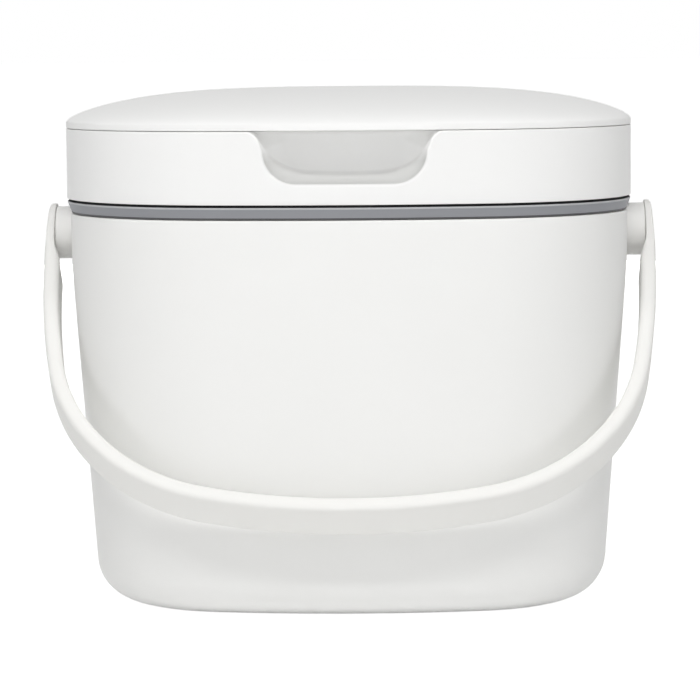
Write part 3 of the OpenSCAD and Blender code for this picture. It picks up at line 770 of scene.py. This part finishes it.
def buildRimSeal():
    bm = bmesh.new()
    inner = bucket["rimStep"] + bucket["wall"] + collar["clearance"] - band["collarGap"]
    top, foot = sealLow.z + band["height"], bucket["rimStep"] + band["footIn"]
    # these corners bound the stripes of painted shade at the foot and painted highlight under the top edge
    stripes = [(foot * (1 - tall / band["height"]), sealLow.z + tall, 0)
               for tall in (band["footShadeTall"], band["height"] - band["highlightTall"])]
    sweepRound(bm, lidPlan, roundedProfile([
        (foot, sealLow.z, band["footR"]), *stripes, (0, top, band["topR"]), (band["neck"], top, 0),
        (band["neck"], sealHigh.z, 0), (inner, sealHigh.z, 0), (inner, sealLow.z, 0)]))
    # painted light: faces take the painted shadow on the top under the ring, the painted highlight just
    # under the top edge and the painted shade at the foot
    for face in bm.faces:
        z = face.calc_center_median().z
        if z > top - band["shadowSkin"]:
            face.material_index = 1
        elif z > top - band["highlightTall"]:
            face.material_index = 2
        elif z < sealLow.z + band["footShadeTall"]:
            face.material_index = 3
    return bm


finishPiece(buildRimSeal(), "rimSealBand", "lid_frame", ["rim_seal"], "seal_gray",
            sealGray, sealPaintedShadow, sealPaintedHighlight, sealPaintedShade)

dome = {"rim": 2.2, "rise": 13.38, "wall": 2.2, "seam": 0.4, "skirt": 0.15, "edgeR": 0.3, "fullness": 3.2,
        "shoulder": 0.665, "rows": 40, "innerFrom": 4, "innerEvery": 4, "edgeRows": 4, "rimRows": 4,
        "lipHalf": 33, "lipFade": 3, "lipTall": 4.5, "lipProud": 0.6}
# the dome's own knuckle, and the heel on it that meets the ring when the lid is open
knuckle = {"rootIn": 0.4, "rootUp": 0.1, "pinWall": 0.5, "webR": 0.4,
           "heelOut": 1, "heelHalf": 1, "heelGap": 0.15, "heelR": 0.3, "heelTurn": -75}
domeZ = deckZ + dome["seam"]


def domeHeight(share):
    return dome["rise"] * (1 - share ** dome["fullness"]) ** dome["shoulder"]


def lipPush(x, z):  # the thumb lip over the finger scoop stands slightly proud
    along = ease((dome["lipHalf"] + dome["lipFade"] - abs(x)) / dome["lipFade"])
    return dome["lipProud"] * along * ease(1 - (z - domeZ) / dome["lipTall"])


def addDomeKnuckle(bm):
    half, radius, pinR = hinge["middleHalf"], hinge["barrelR"], hinge["pinR"]
    addBarrel(bm, -half, half, radius, pinR + hinge["pinGap"])
    addBlock(bm, (-half, halfDepth - dome["wall"] + knuckle["rootIn"], domeZ + knuckle["rootUp"]),
             (half, hingeY - pinR - knuckle["pinWall"], hingeZ + radius), knuckle["webR"])
    heelY, heelHalf = hingeY + hingeY - halfDepth - knuckle["heelGap"], knuckle["heelHalf"]
    heel = addBlock(bm, (-half / 2, hingeY + pinR + knuckle["heelOut"], hingeZ - heelHalf),
                    (half / 2, heelY, hingeZ + heelHalf), knuckle["heelR"])
    turn = Matrix.Rotation(radians(knuckle["heelTurn"]), 3, "X")
    bmesh.ops.rotate(bm, cent=(0, hingeY, hingeZ), matrix=turn, verts=heel)


def buildDome():
    bm = bmesh.new()
    row = drawOutline(bm, lidPlan)
    base = [Vector(v.co[:2]) for v in row]
    inwards = [lidPlan.inward(p) for p in base]
    shoulder = domeZ + dome["rim"]
    edge, low = dome["edgeR"], domeZ - dome["skirt"]
    turns = [pi / 2 * i / dome["edgeRows"] for i in range(dome["edgeRows"] + 1)]
    rings = [ringAt(base, inwards, edge * (1 - sin(turn)), low + edge * (1 - cos(turn))) for turn in turns]
    rings += [ringAt(base, inwards, 0, mix(low + edge, shoulder, i / dome["rimRows"]))
              for i in range(1, dome["rimRows"] + 1)]
    shares = [sin(pi / 2 * (1 - i / dome["rows"])) for i in range(1, dome["rows"])]
    rings += [[(p.x * share, p.y * share, shoulder + domeHeight(share)) for p in base] for share in shares]
    for points in rings:
        for i, (x, y, z) in enumerate(points):
            if y < 0 and z < domeZ + dome["lipTall"]:
                points[i] = (x, y - lipPush(x, z), z)
    outer = loft(bm, row, rings)
    capRow(bm, outer[-1])
    innerBase = [p + n * dome["wall"] for p, n in zip(base, inwards)]
    inner = [[(p.x, p.y, low) for p in innerBase], [(p.x, p.y, shoulder - edge) for p in innerBase]]
    inner += [[(p.x * share, p.y * share, shoulder + domeHeight(share) - dome["wall"]) for p in innerBase]
              for share in shares[dome["innerFrom"]::dome["innerEvery"]]]
    last = outer[0]
    for points in inner:
        last = extrudeRow(bm, last, points)
    capRow(bm, last)
    addDomeKnuckle(bm)
    return bm


finishPiece(buildDome(), "lidDome", "flip_lid", ["lid_dome"], "lid_white", lidWhite)

# the liner under the dome: a shallow pan with a flange that reaches out to the dome's wall
pan = {"drop": 9.2, "wall": 1.8, "flangeShare": 2 / 3, "flangeGap": 0.1, "sealWidth": 2.6, "sealGap": 0.4,
       "floorIn": 30, "bottomR": 2.5, "innerR": 1.5, "flangeR": 0.3, "lowBendR": 0.6, "topBendR": 0.5}
panInset = ring["deckWidth"] + pan["sealWidth"] + pan["sealGap"]


def buildPan():
    bm = bmesh.new()
    low, flange = deckZ - pan["drop"], domeZ + pan["flangeGap"]
    flangeTop, flangeOut = flange + pan["wall"] * pan["flangeShare"], dome["wall"] + pan["flangeGap"]
    floor, inner, middle = low + pan["wall"], panInset + pan["wall"], panInset + pan["floorIn"]
    profile = roundedProfile([
        (middle, low, 0), (panInset, low, pan["bottomR"]), (panInset, flange, pan["lowBendR"]),
        (flangeOut, flange, pan["flangeR"]), (flangeOut, flangeTop, pan["flangeR"]),
        (inner, flangeTop, pan["topBendR"]), (inner, floor, pan["innerR"]), (middle, floor, 0)])
    rows = sweepRound(bm, lidPlan, profile, closed=False)
    capRow(bm, rows[0])
    capRow(bm, rows[-1])
    return bm


finishPiece(buildPan(), "lidPan", "flip_lid", ["lid_pan"], "inner_white", innerWhite)

lipSeal = {"rootShare": 0.85, "tipShare": 0.15, "tipGap": 0.2, "backGap": 0.1, "rootR": 0.4, "tipR": 0.2}


def buildLidSeal():
    bm = bmesh.new()
    middle = lipZ + ring["lipHeight"] / 2
    root, tip = pan["sealWidth"] * lipSeal["rootShare"], pan["sealWidth"] * lipSeal["tipShare"]
    outer, bulge = ring["deckWidth"] + lipSeal["tipGap"], panInset - pan["sealWidth"] / 2
    back = panInset - lipSeal["backGap"]
    sweepRound(bm, lidPlan, roundedProfile([
        (bulge, middle - root, lipSeal["rootR"]), (outer, middle - tip, lipSeal["tipR"]),
        (outer, middle + tip, lipSeal["tipR"]), (bulge, middle + root, lipSeal["rootR"]),
        (back, middle + root, 0), (back, middle - root, 0)]))
    return bm


finishPiece(buildLidSeal(), "lidSealLip", "flip_lid", ["lid_seal"], "seal_gray", sealGray)

# small parts that keep their solids
smallParts = {"hub_bush_left": bushWhite, "hub_bush_right": bushWhite, "pivot_pin_left": bushWhite,
              "pivot_pin_right": bushWhite, "hinge_bush_left": bushWhite, "hinge_bush_right": bushWhite,
              "hinge_pin": pinSteel}
for node, material in smallParts.items():
    part = frame["nodes"][node]
    part.data.materials.clear()
    part.data.materials.append(material)
print("small parts finished")

view = {"place": (0.02597, -1.3227, 0.2346), "pitch": 0.1010, "yaw": 0.02, "roll": -0.008, "lens": 158.5,
        "sensor": 36}
cameraData = bpy.data.cameras.new("camera")
cameraData.lens = view["lens"]
cameraData.sensor_width = view["sensor"]
camera = bpy.data.objects.new("camera", cameraData)
camera.matrix_world = (Matrix.Translation(view["place"]) @ Matrix.Rotation(view["yaw"], 4, "Z")
                       @ Matrix.Rotation(pi / 2 - view["pitch"], 4, "X")
                       @ Matrix.Rotation(view["roll"], 4, "Z"))
bpy.context.scene.collection.objects.link(camera)
bpy.context.scene.camera = camera


def seenDirectly(wire):
    # 1 for the rays that show the background itself, straight on, in gloss or through glass
    straight = wire.node("ShaderNodeLightPath", {}, "Is Camera Ray")
    outputs = straight.socket.node.outputs
    gloss, through = (Wire(wire.tree, outputs[name]) for name in ("Is Glossy Ray", "Is Transmission Ray"))
    return wire.maths("ADD", straight + gloss, through, use_clamp=True)


# floorGlow is what the camera sees of the floor, floorBounce what the floor gives to the object
backdrop = {"floorSize": 30, "floorWhite": 0.85, "floorRough": 0.9, "floorSpecular": 0.1, "floorGlow": 0.8,
            "floorBounce": 0.06, "ambient": 0.215}


def paleFloor():
    material = bpy.data.materials.new("pale_floor")
    material.use_nodes = True
    tree = material.node_tree
    shader = tree.nodes["Principled BSDF"]
    wire = Wire(tree)
    shader.inputs["Base Color"].default_value = colour([backdrop["floorWhite"]] * 3)
    shader.inputs["Roughness"].default_value = backdrop["floorRough"]
    shader.inputs["Specular IOR Level"].default_value = backdrop["floorSpecular"]
    shader.inputs["Emission Color"].default_value = (1, 1, 1, 1)
    bounce = backdrop["floorBounce"]
    glow = seenDirectly(wire) * (backdrop["floorGlow"] - bounce) + bounce
    tree.links.new(glow.socket, shader.inputs["Emission Strength"])
    bm = bmesh.new()
    bmesh.ops.create_grid(bm, x_segments=2, y_segments=2, size=backdrop["floorSize"])
    mesh = bpy.data.meshes.new("floor")
    bm.to_mesh(mesh)
    bm.free()
    mesh.materials.append(material)
    floor = bpy.data.objects.new("floor", mesh)
    bpy.context.scene.collection.objects.link(floor)


def whiteWorld():
    world = bpy.data.worlds.new("studio")
    world.use_nodes = True
    bpy.context.scene.world = world
    tree = world.node_tree
    wire = Wire(tree)
    strength = seenDirectly(wire) * (1 - backdrop["ambient"]) + backdrop["ambient"]
    background = tree.nodes["Background"]
    background.inputs["Color"].default_value = (1, 1, 1, 1)
    tree.links.new(strength.socket, background.inputs["Strength"])


def softbox(name, place, target, size, power):
    lamp = bpy.data.lights.new(name, "AREA")
    lamp.shape = "RECTANGLE"
    lamp.size, lamp.size_y = size
    lamp.energy = power
    box = bpy.data.objects.new(name, lamp)
    aim = Vector(target) - Vector(place)
    box.matrix_world = Matrix.Translation(place) @ aim.to_track_quat("-Z", "Y").to_matrix().to_4x4()
    bpy.context.scene.collection.objects.link(box)
    return box


paleFloor()
whiteWorld()
# each lamp's place, what it faces, its width and height, and its watts
lamps = {
    "key": ((0, -0.86, 1.35), (0, 0, 0.08), (1.4, 0.12), 12.6),
    "middle": ((0, -1.5, 1.1), (0, 0, 0.1), (1.4, 0.5), 1.4),
    "front": ((-0.1, -1.9, 0.3), (0, 0, 0.1), (0.7, 0.4), 5.6),
    "left": ((-1.7, -0.7, 0.4), (0, 0, 0.1), (0.8, 0.8), 4.1),
    "right": ((1.7, -0.7, 0.4), (0, 0, 0.1), (0.8, 0.8), 3.9),
    "rear": ((0, 1.9, 0.12), (0, 0, 0.1), (2.4, 0.3), 11),
}
boxes = {name: softbox(name, *settings) for name, settings in lamps.items()}
boxes["rear"].visible_glossy = False  # no bright rims round the edges seen from the front
bpy.context.scene.view_settings.view_transform = "Standard"
print("camera, floor and lights ready")
